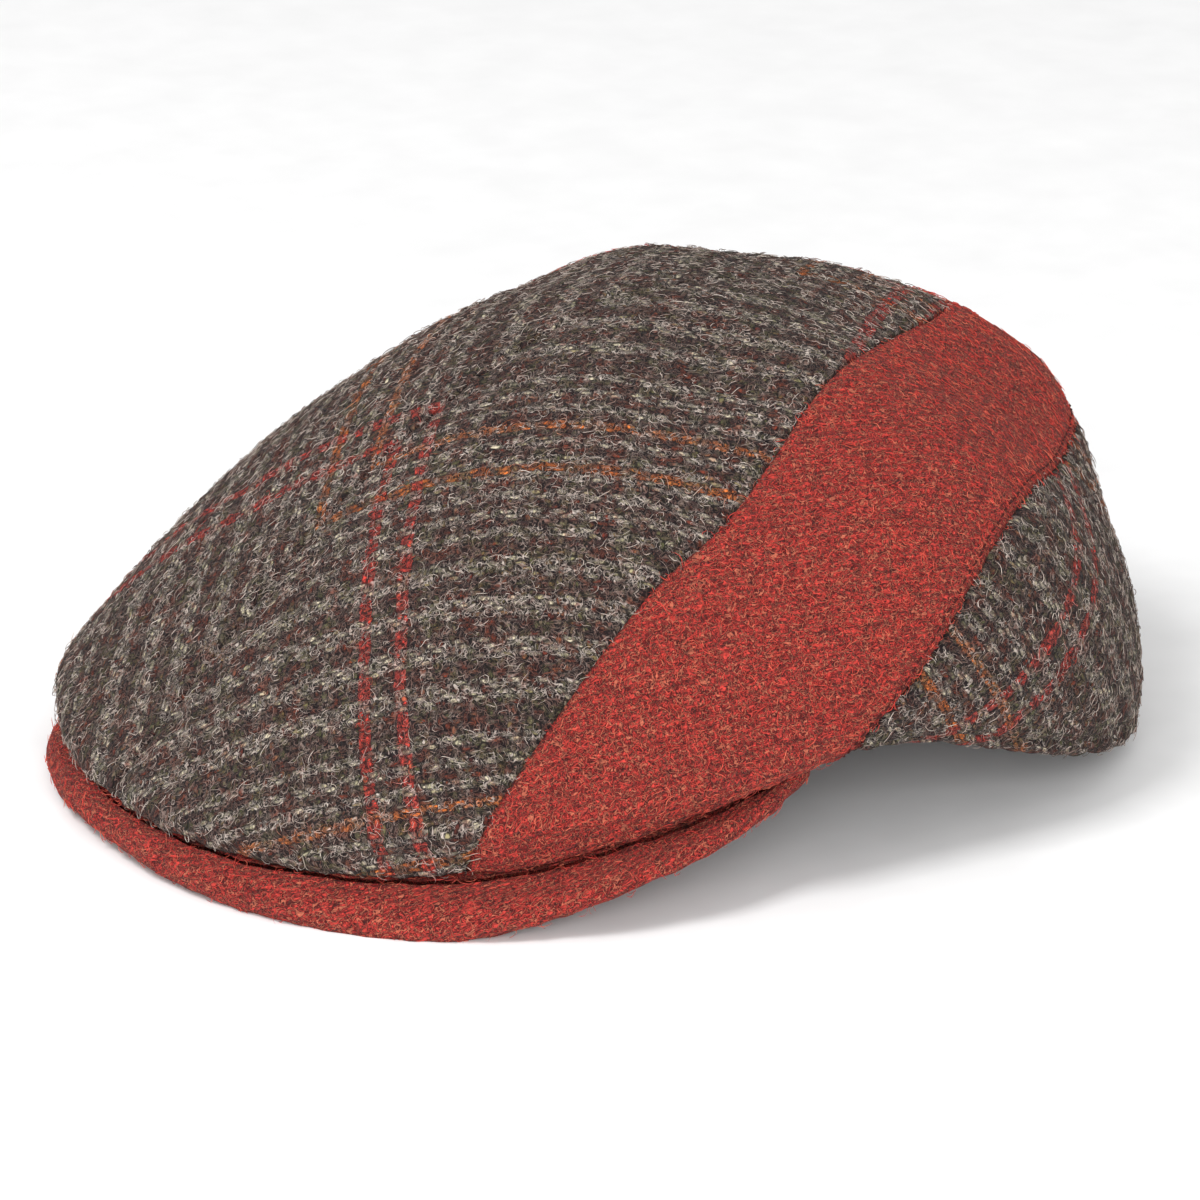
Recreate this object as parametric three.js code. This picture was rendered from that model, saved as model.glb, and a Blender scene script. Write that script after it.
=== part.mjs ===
// A flat cap of tweed and red wool cloth, in millimetres, +Z up. The front of the cap looks along -Y,
// its left side is +X, and the origin is on the surface that it rests on, under the middle of its box.
// The crown is one hollow shell cut into six panels: a front top, a slanting side band and a rear panel
// on each side of the centre seam. The peak is a stiff crescent covered in cloth, under the crown's front.
import * as THREE from 'three';

// Driving sizes
const CLOTH = 2.5;
const GAP = 0.3;
const CROWN_HEIGHT = 112;
const TOP_POINT_Y = 20.5;
const WIDEST_AT = 0.88;
const SEAM_INSET_ANGLE = 0.1;
const SEAM_INSET_REACH = 0.001;

// The crown's widest line seen from above is two half superellipses that meet at its highest point.
const PLAN = {
  halfWidth: 105.5,
  front: { length: 149, squareness: 2.4 },
  back: { length: 109, squareness: 2.25 },
};

// Crown sections every 30 degrees round its highest point, from the front over the side to the back.
// The crown runs from that point out to its widest line and then curls in by the lip to the rim.
const CROWN = [
  { angle: 0, wideHeight: 15, rimHeight: 11.5, lip: 3, fullness: 0.88 },
  { angle: 30, wideHeight: 22.5, rimHeight: 11.5, lip: 5, fullness: 0.98 },
  { angle: 60, wideHeight: 29, rimHeight: 20.5, lip: 7, fullness: 1.2 },
  { angle: 90, wideHeight: 37, rimHeight: 30, lip: 10, fullness: 1.78 },
  { angle: 120, wideHeight: 24.5, rimHeight: 14.5, lip: 8, fullness: 2.45 },
  { angle: 150, wideHeight: 8, rimHeight: 3.5, lip: 4, fullness: 2.4 },
  { angle: 180, wideHeight: 28, rimHeight: -0.8, lip: 3, fullness: 3 },
];

// Seams from the rim up to the centre seam: angle round the highest point, and the share of the way
// from that point to the rim.
const FRONT_SEAM = [
  { angle: 38.8, reach: 1 },
  { angle: 40.8, reach: 0.9 },
  { angle: 43.8, reach: 0.71 },
  { angle: 49.4, reach: 0.573 },
  { angle: 57.6, reach: 0.476 },
  { angle: 69, reach: 0.421 },
  { angle: 83, reach: 0.356 },
  { angle: 102, reach: 0.292 },
  { angle: 126, reach: 0.26 },
  { angle: 148, reach: 0.275 },
  { angle: 164, reach: 0.342 },
  { angle: 180, reach: 0.43 },
];
const REAR_SEAM = [
  { angle: 83.8, reach: 1 },
  { angle: 85.6, reach: 0.875 },
  { angle: 90, reach: 0.82 },
  { angle: 96.5, reach: 0.755 },
  { angle: 105, reach: 0.674 },
  { angle: 117, reach: 0.588 },
  { angle: 132, reach: 0.536 },
  { angle: 150, reach: 0.552 },
  { angle: 166, reach: 0.638 },
  { angle: 180, reach: 0.7 },
];

// Peak sections round the same point: how far its edge stands out past the crown's rim, the height of
// that edge's underside, the edge of the head opening, and how the underside is bowed between them.
const PEAK = [
  { angle: 0, overhang: 4, edgeHeight: 1.4, innerRadius: 92, innerHeight: 30, bow: 1.6 },
  { angle: 20, overhang: 5.5, edgeHeight: -0.6, innerRadius: 93, innerHeight: 30, bow: 1.6 },
  { angle: 40, overhang: 10, edgeHeight: -0.6, innerRadius: 94, innerHeight: 30, bow: 1.4 },
  { angle: 60, overhang: 10.5, edgeHeight: 13.4, innerRadius: 93, innerHeight: 31, bow: 0.75 },
  { angle: 72, overhang: 3.5, edgeHeight: 19.5, innerRadius: 89, innerHeight: 33, bow: 0.85 },
  { angle: 80, overhang: -4, edgeHeight: 24, innerRadius: 84, innerHeight: 34, bow: 1 },
];
const PEAK_END = 80;
const PEAK_THICKNESS = 5;
const PEAK_EDGE_DEPTH = 5;
const PEAK_TOP_SLOPE = 0.35;

// Mesh steps, which are finer near the rim, where the cloth curls in
const TOP_STEPS_OUT = 14;
const TOP_STEPS_FRONT = 9;
const SEAM_STEPS = 18;
const BAND_STEPS = 8;
const REAR_STEPS = 8;
const PEAK_STEPS = 44;
const EDGE_STEPS = 7;
const UNDER_STEPS = 4;
const RIM_EASE = 1.4;

const radians = THREE.MathUtils.degToRad;

// Cosine series through the crown's sections, so that every column runs smoothly round the crown.
function cosineSeries(column) {
  const last = CROWN.length - 1;
  const coefficients = CROWN.map((_, k) => {
    const sum = CROWN.reduce((total, row, j) => {
      const weight = j === 0 || j === last ? 0.5 : 1;
      return total + weight * row[column] * Math.cos((k * j * Math.PI) / last);
    }, 0);
    return (k === 0 || k === last ? sum : 2 * sum) / last;
  });
  return (angle) => coefficients.reduce((total, c, k) => total + c * Math.cos(k * radians(angle)), 0);
}

const wideHeight = cosineSeries('wideHeight');
const lip = cosineSeries('lip');
const rimHeight = cosineSeries('rimHeight');
const fullness = cosineSeries('fullness');

// Distance of the widest line from the highest point, seen from above: for a half of length L, width W
// and squareness n it is (|cos / L|^n + |sin / W|^n)^(-1/n).
function wideRadius(angle) {
  const c = Math.cos(radians(angle));
  const s = Math.abs(Math.sin(radians(angle)));
  const { length, squareness } = c > 0 ? PLAN.front : PLAN.back;
  return ((Math.abs(c) / length) ** squareness + (s / PLAN.halfWidth) ** squareness) ** (-1 / squareness);
}

const rimRadius = (angle) => wideRadius(angle) - lip(angle);

// Cubic Hermite curve through the rows of a table, with each slope taken from the two neighbours.
function through(places, values, place, evenStart = false) {
  const last = places.length - 1;
  const slope = (i) => {
    if (i === 0 && evenStart) return 0;
    const a = Math.max(i - 1, 0);
    const b = Math.min(i + 1, last);
    return (values[b] - values[a]) / (places[b] - places[a]);
  };
  let i = 0;
  while (i < last - 1 && place > places[i + 1]) i += 1;
  const step = places[i + 1] - places[i];
  const s = (place - places[i]) / step;
  const rise = s * s * (3 - 2 * s);
  const start = s * (1 - s) * (1 - s) * step * slope(i);
  const end = s * s * (1 - s) * step * slope(i + 1);
  return values[i] * (1 - rise) + values[i + 1] * rise + start - end;
}

// A point of the crown's cloth. The inner face has the same form, one cloth thickness smaller. Where the
// outer face would pass below the surface that the cap rests on, it lies flat on it.
function crownPoint(angle, reach, inner) {
  const inset = inner ? CLOTH : 0;
  const wide = wideRadius(angle) - inset;
  const rim = rimRadius(angle) - inset;
  const level = wideHeight(angle);
  const rise = CROWN_HEIGHT - inset - level;
  let radius;
  let height;
  if (reach <= WIDEST_AT) {
    const turn = (reach / WIDEST_AT) * (Math.PI / 2);
    radius = wide * Math.sin(turn);
    height = level + rise * Math.max(Math.cos(turn), 0) ** (2 / fullness(angle));
  } else {
    const turn = ((reach - WIDEST_AT) / (1 - WIDEST_AT)) * (Math.PI / 2);
    radius = wide - (wide - rim) * (1 - Math.cos(turn));
    const end = inner ? Math.max(rimHeight(angle), 0) : rimHeight(angle);
    height = level - (level - end) * Math.sin(turn);
  }
  const a = radians(angle);
  return [radius * Math.sin(a), TOP_POINT_Y - radius * Math.cos(a), Math.max(height, 0)];
}

// A point of a seam, side being -1 for the panel in front of it and +1 for the one behind.
function seamPoint(seam, share, side) {
  const rows = seam.map((_, i) => i);
  const place = share * (seam.length - 1);
  const angle = through(rows, seam.map((row) => row.angle), place);
  const reach = through(rows, seam.map((row) => row.reach), place);
  const back = share === 1 ? 0 : side * SEAM_INSET_ANGLE;
  const down = share === 0 ? 0 : side * SEAM_INSET_REACH;
  return { angle: angle + back, reach: reach + down };
}

// A closed solid from an outer and an inner sheet of the same grid, joined all round their border.
function shell(grid) {
  const rows = grid.length;
  const columns = grid[0].length;
  const layers = [false, true].map((inner) =>
    grid.map((row) => row.map(({ angle, reach }) => new THREE.Vector3(...crownPoint(angle, reach, inner)))),
  );
  const triangles = [];
  const quad = (a, b, c, d) => triangles.push([a, b, c], [a, c, d]);
  for (let i = 0; i < rows - 1; i += 1) {
    for (let j = 0; j < columns - 1; j += 1) {
      const [outer, inner] = layers;
      quad(outer[i][j], outer[i + 1][j], outer[i + 1][j + 1], outer[i][j + 1]);
      quad(inner[i][j], inner[i][j + 1], inner[i + 1][j + 1], inner[i + 1][j]);
    }
  }
  const border = [];
  for (let i = 0; i < rows - 1; i += 1) border.push([i, 0]);
  for (let j = 0; j < columns - 1; j += 1) border.push([rows - 1, j]);
  for (let i = rows - 1; i > 0; i -= 1) border.push([i, columns - 1]);
  for (let j = columns - 1; j > 0; j -= 1) border.push([0, j]);
  border.forEach(([i, j], n) => {
    const [k, l] = border[(n + 1) % border.length];
    quad(layers[0][i][j], layers[1][i][j], layers[1][k][l], layers[0][k][l]);
  });
  return solidGeometry(triangles);
}

// Triangles as a geometry, without those that have closed up to a line at a pole or a corner.
function solidGeometry(triangles) {
  const positions = [];
  const same = (a, b) => a.distanceToSquared(b) < 1e-12;
  triangles
    .filter(([a, b, c]) => !same(a, b) && !same(b, c) && !same(c, a))
    .forEach((corners) => corners.forEach((p) => positions.push(p.x, p.y, p.z)));
  const geometry = new THREE.BufferGeometry();
  geometry.setAttribute('position', new THREE.Float32BufferAttribute(positions, 3));
  geometry.computeVertexNormals();
  return geometry;
}

// The other side's copy of a solid, with its faces turned round so that they still point out.
function mirrored(geometry) {
  const copy = geometry.clone();
  const position = copy.getAttribute('position');
  for (let i = 0; i < position.count; i += 3) {
    const corners = [0, 2, 1].map((k) => new THREE.Vector3().fromBufferAttribute(geometry.getAttribute('position'), i + k));
    corners.forEach((p, k) => position.setXYZ(i + k, -p.x, p.y, p.z));
  }
  copy.computeVertexNormals();
  return copy;
}

const steps = (count) => Array.from({ length: count + 1 }, (_, i) => i / count);
const fineAtStart = (count) => steps(count).map((s) => s ** RIM_EASE);
const fineAtEnd = (count) => steps(count).map((s) => 1 - (1 - s) ** RIM_EASE);

// Half of the top, fanned out from the crown's highest point to the rim and then to the front seam.
function topPanel() {
  const corner = seamPoint(FRONT_SEAM, 0, -1);
  const rim = steps(TOP_STEPS_FRONT).map((s) => ({ angle: s * corner.angle, reach: 1 }));
  const seam = fineAtStart(SEAM_STEPS).slice(1).map((s) => seamPoint(FRONT_SEAM, s, -1));
  const border = [...rim, ...seam];
  return shell(fineAtEnd(TOP_STEPS_OUT).map((s) => border.map(({ angle, reach }) => ({ angle, reach: s * reach }))));
}

// The slanting band between the two seams, from the rim up to the centre seam.
function sideBand() {
  return shell(
    steps(BAND_STEPS).map((w) =>
      fineAtStart(SEAM_STEPS).map((s) => {
        const front = seamPoint(FRONT_SEAM, s, 1);
        const rear = seamPoint(REAR_SEAM, s, -1);
        return {
          angle: THREE.MathUtils.lerp(front.angle, rear.angle, w),
          reach: THREE.MathUtils.lerp(front.reach, rear.reach, w),
        };
      }),
    ),
  );
}

// The rear panel, from the rear seam down to the hem, coming to a corner at the side.
function rearPanel() {
  return shell(
    fineAtEnd(REAR_STEPS).map((w) =>
      fineAtStart(SEAM_STEPS).map((s) => {
        const seam = seamPoint(REAR_SEAM, s, 1);
        const corner = seamPoint(REAR_SEAM, 0, 1).angle;
        const hem = THREE.MathUtils.lerp(corner, 180, s);
        return {
          angle: THREE.MathUtils.lerp(seam.angle, hem, w),
          reach: THREE.MathUtils.lerp(seam.reach, 1, w),
        };
      }),
    ),
  );
}

// One cross-section of the peak, round from the crease under the crown's rim, over the edge, back
// along the underside to the head opening and forward again under the crown.
function peakSection(angle) {
  const size = Math.abs(angle);
  const value = (column) => through(PEAK.map((row) => row.angle), PEAK.map((row) => row[column]), size, true);
  const rim = rimRadius(size);
  const edge = rim + value('overhang');
  const low = value('edgeHeight');
  const crease = Math.min(rim + 0.5, edge - 1);
  const creaseHeight = rimHeight(size) - GAP;
  const under = edge - PEAK_EDGE_DEPTH;
  const front = (edge - (crease + under) / 8) / 0.75;
  const curve = new THREE.CubicBezierCurve(
    new THREE.Vector2(crease, creaseHeight),
    new THREE.Vector2(front, creaseHeight - PEAK_TOP_SLOPE * (front - crease)),
    new THREE.Vector2(front, low),
    new THREE.Vector2(under, low),
  );
  const inner = value('innerRadius');
  const innerHeight = value('innerHeight');
  const innerLow = innerHeight - PEAK_THICKNESS;
  const below = steps(UNDER_STEPS).slice(1).map((w) => {
    const height = low + (innerLow - low) * (1 - (1 - w) ** value('bow'));
    return new THREE.Vector2(THREE.MathUtils.lerp(under, inner, w), height);
  });
  const behind = crease - CLOTH - 2 * GAP - 0.5;
  const points = [
    ...curve.getPoints(EDGE_STEPS),
    ...below,
    new THREE.Vector2(inner, innerHeight),
    new THREE.Vector2((inner + behind) / 2, (innerHeight + creaseHeight) / 2),
    new THREE.Vector2(behind, creaseHeight),
  ];
  const a = radians(angle);
  return points.map((p) => new THREE.Vector3(p.x * Math.sin(a), TOP_POINT_Y - p.x * Math.cos(a), Math.max(p.y, 0)));
}

// The peak, lofted through its sections from one side to the other and capped at both ends.
function peak() {
  const sections = steps(PEAK_STEPS).map((s) => peakSection(THREE.MathUtils.lerp(-PEAK_END, PEAK_END, s)));
  const triangles = [];
  sections.slice(1).forEach((section, i) => {
    section.forEach((point, j) => {
      const k = (j + 1) % section.length;
      triangles.push([sections[i][j], section[k], point], [sections[i][j], sections[i][k], section[k]]);
    });
  });
  const cap = (section, turned) => {
    const flat = section.map((p) => new THREE.Vector2(Math.hypot(p.x, p.y - TOP_POINT_Y), p.z));
    THREE.ShapeUtils.triangulateShape(flat, []).forEach((face) => {
      const corners = face.map((n) => section[n]);
      triangles.push(turned ? corners.reverse() : corners);
    });
  };
  cap(sections[0], false);
  cap(sections[sections.length - 1], true);
  return solidGeometry(triangles);
}

const cap = new THREE.Group();

function add(name, geometry, material, x) {
  const mesh = new THREE.Mesh(geometry, material.clone());
  mesh.name = name;
  mesh.position.x = x;
  cap.add(mesh);
}

const tweed = new THREE.MeshStandardMaterial({ color: 0x5c5349, roughness: 0.95, metalness: 0 });
const redCloth = new THREE.MeshStandardMaterial({ color: 0x9c2f28, roughness: 0.95, metalness: 0 });

[
  ['top_panel', topPanel(), tweed],
  ['side_band', sideBand(), redCloth],
  ['rear_panel', rearPanel(), tweed],
].forEach(([name, geometry, material]) => {
  add(`${name}_left`, geometry, material, GAP / 2);
  add(`${name}_right`, mirrored(geometry), material, -GAP / 2);
});
add('peak', peak(), redCloth, 0);

export default cap;
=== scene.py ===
"""A flat cap of plaid tweed and red wool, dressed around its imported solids."""

import logging
import math
from dataclasses import dataclass
from enum import Enum
from typing import Any, NamedTuple

import bpy
import numpy as np
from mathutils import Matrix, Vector


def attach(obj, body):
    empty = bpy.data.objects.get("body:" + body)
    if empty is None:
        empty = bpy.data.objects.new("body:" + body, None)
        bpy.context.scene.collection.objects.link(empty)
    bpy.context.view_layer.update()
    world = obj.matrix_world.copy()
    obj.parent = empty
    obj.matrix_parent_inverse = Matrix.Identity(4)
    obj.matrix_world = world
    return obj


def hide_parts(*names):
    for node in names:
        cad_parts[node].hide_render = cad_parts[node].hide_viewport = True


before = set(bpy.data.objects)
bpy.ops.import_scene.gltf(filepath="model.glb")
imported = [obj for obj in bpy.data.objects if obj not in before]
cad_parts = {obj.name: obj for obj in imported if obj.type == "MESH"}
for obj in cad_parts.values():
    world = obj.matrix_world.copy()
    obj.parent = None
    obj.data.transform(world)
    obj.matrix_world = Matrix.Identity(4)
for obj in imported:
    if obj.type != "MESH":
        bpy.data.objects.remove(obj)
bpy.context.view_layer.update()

LOG = logging.getLogger("cap")
MM = 0.001
UV_NAME = "cloth"
TONE_NAME = "tone"
LUMP_SIZE = 6.5
LUMP_SEED = 8
LUMP_WAVES = 15
FOLD_PLACE = 8.0
FOLD_WIDTH = 1.3
CURVE_STEPS = 2001

# The soft sag's waves: length in millimetres, seed and share.
SAG_WAVES = ((70, 3, 1), (27, 5, 0.45))


class Cloth(Enum):
    """The two cloths of the cap; the value is the record's material slot."""

    TWEED = "tweed"
    RED = "red_wool"


NAP_LIFT = {Cloth.TWEED: 0.34, Cloth.RED: 0.18}


class Section(NamedTuple):
    """One row of the crown's table, in degrees and millimetres."""

    angle: float
    wide_height: float
    rim_height: float
    lip: float
    fullness: float


class SeamRow(NamedTuple):
    """One point of a seam: the angle round the highest point, and the share of the way to the rim."""

    angle: float
    reach: float


class PeakRow(NamedTuple):
    """One row of the peak's table, in degrees and millimetres."""

    angle: float
    overhang: float
    edge_height: float
    inner_radius: float
    inner_height: float
    bow: float


CROWN = (
    Section(0, 15, 11.5, 3, 0.88),
    Section(30, 22.5, 11.5, 5, 0.98),
    Section(60, 29, 20.5, 7, 1.2),
    Section(90, 37, 30, 10, 1.78),
    Section(120, 24.5, 14.5, 8, 2.45),
    Section(150, 8, 3.5, 4, 2.4),
    Section(180, 28, -0.8, 3, 3),
)
FRONT_SEAM = (
    SeamRow(38.8, 1), SeamRow(40.8, 0.9), SeamRow(43.8, 0.71), SeamRow(49.4, 0.573),
    SeamRow(57.6, 0.476), SeamRow(69, 0.421), SeamRow(83, 0.356), SeamRow(102, 0.292),
    SeamRow(126, 0.26), SeamRow(148, 0.275), SeamRow(164, 0.342), SeamRow(180, 0.43),
)
REAR_SEAM = (
    SeamRow(83.8, 1), SeamRow(85.6, 0.875), SeamRow(90, 0.82), SeamRow(96.5, 0.755),
    SeamRow(105, 0.674), SeamRow(117, 0.588), SeamRow(132, 0.536), SeamRow(150, 0.552),
    SeamRow(166, 0.638), SeamRow(180, 0.7),
)
PEAK = (
    PeakRow(0, 4, 1.4, 92, 30, 1.6),
    PeakRow(20, 5.5, -0.6, 93, 30, 1.6),
    PeakRow(40, 10, -0.6, 94, 30, 1.4),
    PeakRow(60, 10.5, 13.4, 93, 31, 0.75),
    PeakRow(72, 3.5, 19.5, 89, 33, 0.85),
    PeakRow(80, -4, 24, 84, 34, 1),
)


def cosine_series(values: list[float], angle: np.ndarray) -> np.ndarray:
    """Even series through values spaced evenly over 0 to 180 degrees: the sum of c_k cos(k angle).

    Args:
        values: The column of a table.
        angle: Angles in radians.

    Returns:
        The series at those angles.
    """
    order = np.arange(len(values))
    basis = np.cos(np.outer(order, order) * np.pi / (len(values) - 1))
    return np.cos(angle[..., None] * order) @ np.linalg.solve(basis, np.array(values, float))


def through(places: np.ndarray, values: np.ndarray, at: np.ndarray, even_start: bool = False) -> np.ndarray:
    """Cubic Hermite curve through the rows of a table, each slope taken from the two neighbours.

    Args:
        places: Rising places of the rows.
        values: A value, or a row of values, at each place.
        at: Where the curve is wanted.
        even_start: Whether the curve starts level, as a mirrored one does.

    Returns:
        The curve's values, with at's shape first.
    """
    places, values = np.asarray(places, float), np.asarray(values, float)
    last = len(places) - 1
    rows = np.arange(last + 1)
    before, after = np.maximum(rows - 1, 0), np.minimum(rows + 1, last)
    wide = (slice(None),) + (None,) * (values.ndim - 1)
    slope = (values[after] - values[before]) / (places[after] - places[before])[wide]
    if even_start:
        slope[0] = 0
    i = np.clip(np.searchsorted(places, at, side="left") - 1, 0, last - 1)
    step = places[i + 1] - places[i]
    share = (at - places[i]) / step
    rise = share * share * (3 - 2 * share)
    start = share * (1 - share) ** 2 * step
    end = share * share * (1 - share) * step
    spread = (...,) + (None,) * (values.ndim - 1)
    return (values[i] * (1 - rise)[spread] + values[i + 1] * rise[spread]
            + start[spread] * slope[i] - end[spread] * slope[i + 1])


def lengths(points: np.ndarray, axis: int) -> np.ndarray:
    """Running length along one axis of a grid of points, from 0.

    Args:
        points: The grid, with a last axis of places.
        axis: The grid's axis to run along.

    Returns:
        The length from the axis's start to each point.
    """
    step = np.linalg.norm(np.diff(points, axis=axis), axis=-1)
    lead = [(0, 0)] * step.ndim
    lead[axis] = (1, 0)
    return np.pad(np.cumsum(step, axis=axis), lead)


def smooth(low: float, high: float, x: np.ndarray) -> np.ndarray:
    """0 below low, 1 above high, and the cubic s * s * (3 - 2 s) between them."""
    s = np.clip((x - low) / (high - low), 0, 1)
    return s * s * (3 - 2 * s)


def unit(vectors: np.ndarray) -> np.ndarray:
    """The vectors, each divided by its own length."""
    return vectors / np.maximum(np.linalg.norm(vectors, axis=-1, keepdims=True), 1e-12)


def waves(points: np.ndarray, size: float, seed: int, count: int = 9) -> np.ndarray:
    """Soft random relief: a sum of sines of plane waves in seeded directions.

    Args:
        points: Places in millimetres.
        size: The length of a typical wave.
        seed: What the directions, lengths and phases are drawn from.
        count: How many waves are added.

    Returns:
        The relief at each place, of about unit spread.
    """
    rng = np.random.default_rng(seed)
    turn = unit(rng.normal(size=(count, 3)))
    turn *= 2 * np.pi / (size * rng.uniform(0.7, 1.5, count))[:, None]
    return np.sin(points @ turn.T + rng.uniform(0, 2 * np.pi, count)).sum(-1) / math.sqrt(count / 2)


def lumps(points: np.ndarray, height: float) -> np.ndarray:
    """The coarse cloth's small lumps, which are short waves of the given height."""
    return height * waves(points, LUMP_SIZE, LUMP_SEED, LUMP_WAVES)


@dataclass(frozen=True)
class CrownShape:
    """The crown's outer form, from its highest point out to its widest line and in to the rim."""

    height: float = 112
    top_y: float = 20.5
    widest_at: float = 0.88
    half_width: float = 105.5
    front_length: float = 149
    front_squareness: float = 2.4
    back_length: float = 109
    back_squareness: float = 2.25
    softness: float = 0.09
    hollow_height: float = 20

    def column(self, name: str, angle: np.ndarray) -> np.ndarray:
        """One column of the crown's table as a smooth series round the crown."""
        return cosine_series([getattr(row, name) for row in CROWN], angle)

    def wide_radius(self, angle: np.ndarray) -> np.ndarray:
        """Two half superellipses: (|cos / L|^n + |sin / W|^n)^(-1/n).

        Args:
            angle: Radians round the highest point.

        Returns:
            The radius of the widest line in millimetres.
        """
        c, s = np.cos(angle), np.abs(np.sin(angle))
        length = np.where(c > 0, self.front_length, self.back_length)
        n = np.where(c > 0, self.front_squareness, self.back_squareness)
        return ((np.abs(c) / length) ** n + (s / self.half_width) ** n) ** (-1 / n)

    def rim_radius(self, angle: np.ndarray) -> np.ndarray:
        """The widest line's radius less the lip."""
        return self.wide_radius(angle) - self.column("lip", angle)

    def soft_point(self, angle: np.ndarray, reach: np.ndarray) -> np.ndarray:
        """The crown with its widest line rounded off: a weighted mean of five points on the way to the rim.

        Args:
            angle: Radians round the highest point.
            reach: Share of the way from the highest point to the rim.

        Returns:
            An array of points with a last axis of three.
        """
        spread = np.minimum(self.softness * smooth(0.4, 0.8, reach), 1 - reach)
        steps = ((-1, 1), (-0.5, 2), (0, 2), (0.5, 2), (1, 1))
        return sum(weight * self.point(angle, reach + step * spread) for step, weight in steps) / 8

    def point(self, angle: np.ndarray, reach: np.ndarray, inset: float = 0) -> np.ndarray:
        """Points of the crown in millimetres.

        Up to the widest line the radius follows a sine and the height the cosine to the power 2 over
        the fullness; past it both follow a quarter of an ellipse in to the rim.

        Args:
            angle: Radians round the highest point, 0 at the front and positive to the cap's left.
            reach: Share of the way from the highest point to the rim.
            inset: How far the sheet lies inside the outer one.

        Returns:
            An array of points with a last axis of three.
        """
        wide = self.wide_radius(angle) - inset
        rim = self.rim_radius(angle) - inset
        level = self.column("wide_height", angle)
        rim_height = self.column("rim_height", angle)
        if inset:
            rim_height = np.maximum(rim_height, 0)
        out = np.clip(reach / self.widest_at, 0, 1) * np.pi / 2
        down = np.clip((reach - self.widest_at) / (1 - self.widest_at), 0, 1) * np.pi / 2
        power = 2 / self.column("fullness", angle)
        upper = level + (self.height - inset - level) * np.maximum(np.cos(out), 0) ** power
        lower = level - (level - rim_height) * np.sin(down)
        below = reach > self.widest_at
        radius = np.where(below, wide - (wide - rim) * (1 - np.cos(down)), wide * np.sin(out))
        z = np.maximum(np.where(below, lower, upper), 0)
        return np.stack([radius * np.sin(angle), self.top_y - radius * np.cos(angle), z], -1)


def seam_curve(seam: tuple[SeamRow, ...], share: np.ndarray) -> np.ndarray:
    """Angle in radians and reach along a seam, from the rim at share 0 to the centre seam at share 1."""
    table = np.array([[math.radians(row.angle), row.reach] for row in seam])
    return through(np.arange(len(seam)), table, share * (len(seam) - 1))


def disk(polar: np.ndarray) -> np.ndarray:
    """Angle and reach as a point of the unit disk seen from above."""
    return np.stack([polar[..., 1] * np.sin(polar[..., 0]), -polar[..., 1] * np.cos(polar[..., 0])], -1)


def polar(point: np.ndarray) -> np.ndarray:
    """A point of the unit disk as angle and reach."""
    return np.stack([np.arctan2(point[..., 0], -point[..., 1]), np.hypot(point[..., 0], point[..., 1])], -1)


def patch(near: np.ndarray, far: np.ndarray, first: np.ndarray, last: np.ndarray) -> np.ndarray:
    """Coons patch between four border curves of the disk.

    Args:
        near: Border at column 0, by row.
        far: Border at the last column, by row.
        first: Border at row 0, by column.
        last: Border at the last row, by column.

    Returns:
        The sum of the two ruled surfaces less the bilinear one, by row and column.
    """
    s = np.linspace(0, 1, len(near))[:, None, None]
    t = np.linspace(0, 1, len(first))[None, :, None]
    ruled = near[:, None] * (1 - t) + far[:, None] * t + first[None] * (1 - s) + last[None] * s
    corners = (near[0] * (1 - s) + near[-1] * s) * (1 - t) + (far[0] * (1 - s) + far[-1] * s) * t
    return ruled - corners


def flatten(points: np.ndarray, rounds: int = 500, eagerness: float = 1.5) -> np.ndarray:
    """Cloth coordinates of a grid of points, as the piece lay before it was sewn to shape.

    The grid is laid out by its running lengths and then relaxed: every edge and diagonal pulls its
    two ends towards its length in space, until the flat grid has the lengths of the curved one.

    Args:
        points: The grid, coarse enough to relax quickly.
        rounds: How many times every length is corrected.
        eagerness: Factor on each correction, over 1 so that fewer rounds are needed.

    Returns:
        Flat places with a last axis of two: across the columns, and along the first column.
    """
    flat = np.stack([lengths(points, 1), np.broadcast_to(lengths(points[:, :1], 0), points.shape[:2])], -1)
    a, b = slice(None, -1), slice(1, None)
    whole = slice(None)
    pairs = [((whole, a), (whole, b)), ((a, whole), (b, whole)), ((a, a), (b, b)), ((a, b), (b, a))]
    wanted = [np.linalg.norm(points[j] - points[i], axis=-1) for i, j in pairs]
    count = np.zeros(points.shape[:2])
    for i, j in pairs:
        count[i] += 1
        count[j] += 1
    for _ in range(rounds):
        pull = np.zeros_like(flat)
        for (i, j), length in zip(pairs, wanted):
            gap = flat[j] - flat[i]
            now = np.maximum(np.linalg.norm(gap, axis=-1), 1e-9)
            move = gap * ((now - length) / now / 2)[..., None]
            pull[i] += move
            pull[j] -= move
        flat += eagerness * pull / count[..., None]
    return flat


def spread_even(curve: Any, start: float, end: float, count: int, shape: CrownShape) -> np.ndarray:
    """Disk points along a curve of the crown, with equal lengths of cloth between them.

    Args:
        curve: Gives angle and reach for an array of places.
        start: The curve's first place.
        end: The curve's last place.
        count: How many points are wanted.
        shape: The crown.

    Returns:
        The points in the unit disk.
    """
    place = np.linspace(start, end, CURVE_STEPS)
    run = lengths(shape.point(*np.moveaxis(curve(place), -1, 0)), 0)
    return disk(curve(np.interp(np.linspace(0, run[-1], count), run, place)))


def centre_curve(place: np.ndarray) -> np.ndarray:
    """The centre seam: place runs from -1 at the front rim to 1 at the back, past 0 at the top."""
    return np.stack([np.where(place > 0, np.pi, 0.0), np.abs(place)], -1)


def rim_curve(place: np.ndarray) -> np.ndarray:
    """The rim, by its angle in radians."""
    return np.stack([place, np.ones_like(place)], -1)


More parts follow.
